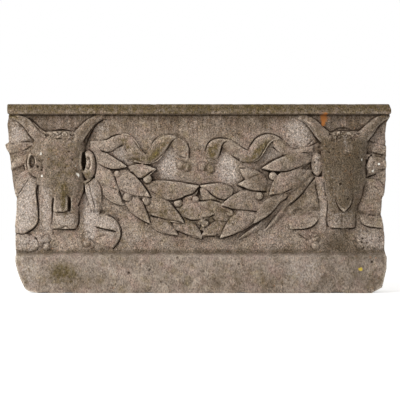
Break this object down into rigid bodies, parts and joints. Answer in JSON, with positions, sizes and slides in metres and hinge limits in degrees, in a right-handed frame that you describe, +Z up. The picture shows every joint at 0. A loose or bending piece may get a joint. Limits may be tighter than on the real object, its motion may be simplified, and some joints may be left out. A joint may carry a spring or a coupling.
{
  "type": "carved stone frieze block",
  "caption": "Salvaged block of classical stone frieze carved with ox skulls, a laurel swag, fluttering ribbons and berries between a top fillet and a plain plinth.",
  "frame": {"origin": "bottom centre of the overall box: the bed face is at Z = 0, midway along the length and midway between the back face and the front of the ox skulls", "axes": "+X runs along the frieze to the right as seen from the carved side, +Y goes into the wall so that the carving faces -Y, +Z is up"},
  "size_m": [1.238, 0.18, 0.605],
  "materials": {
    "stone": "rough, weathered"
  },
  "bodies": {
    "root": {"frieze_block": "stone"}
  },
  "joints": []
}
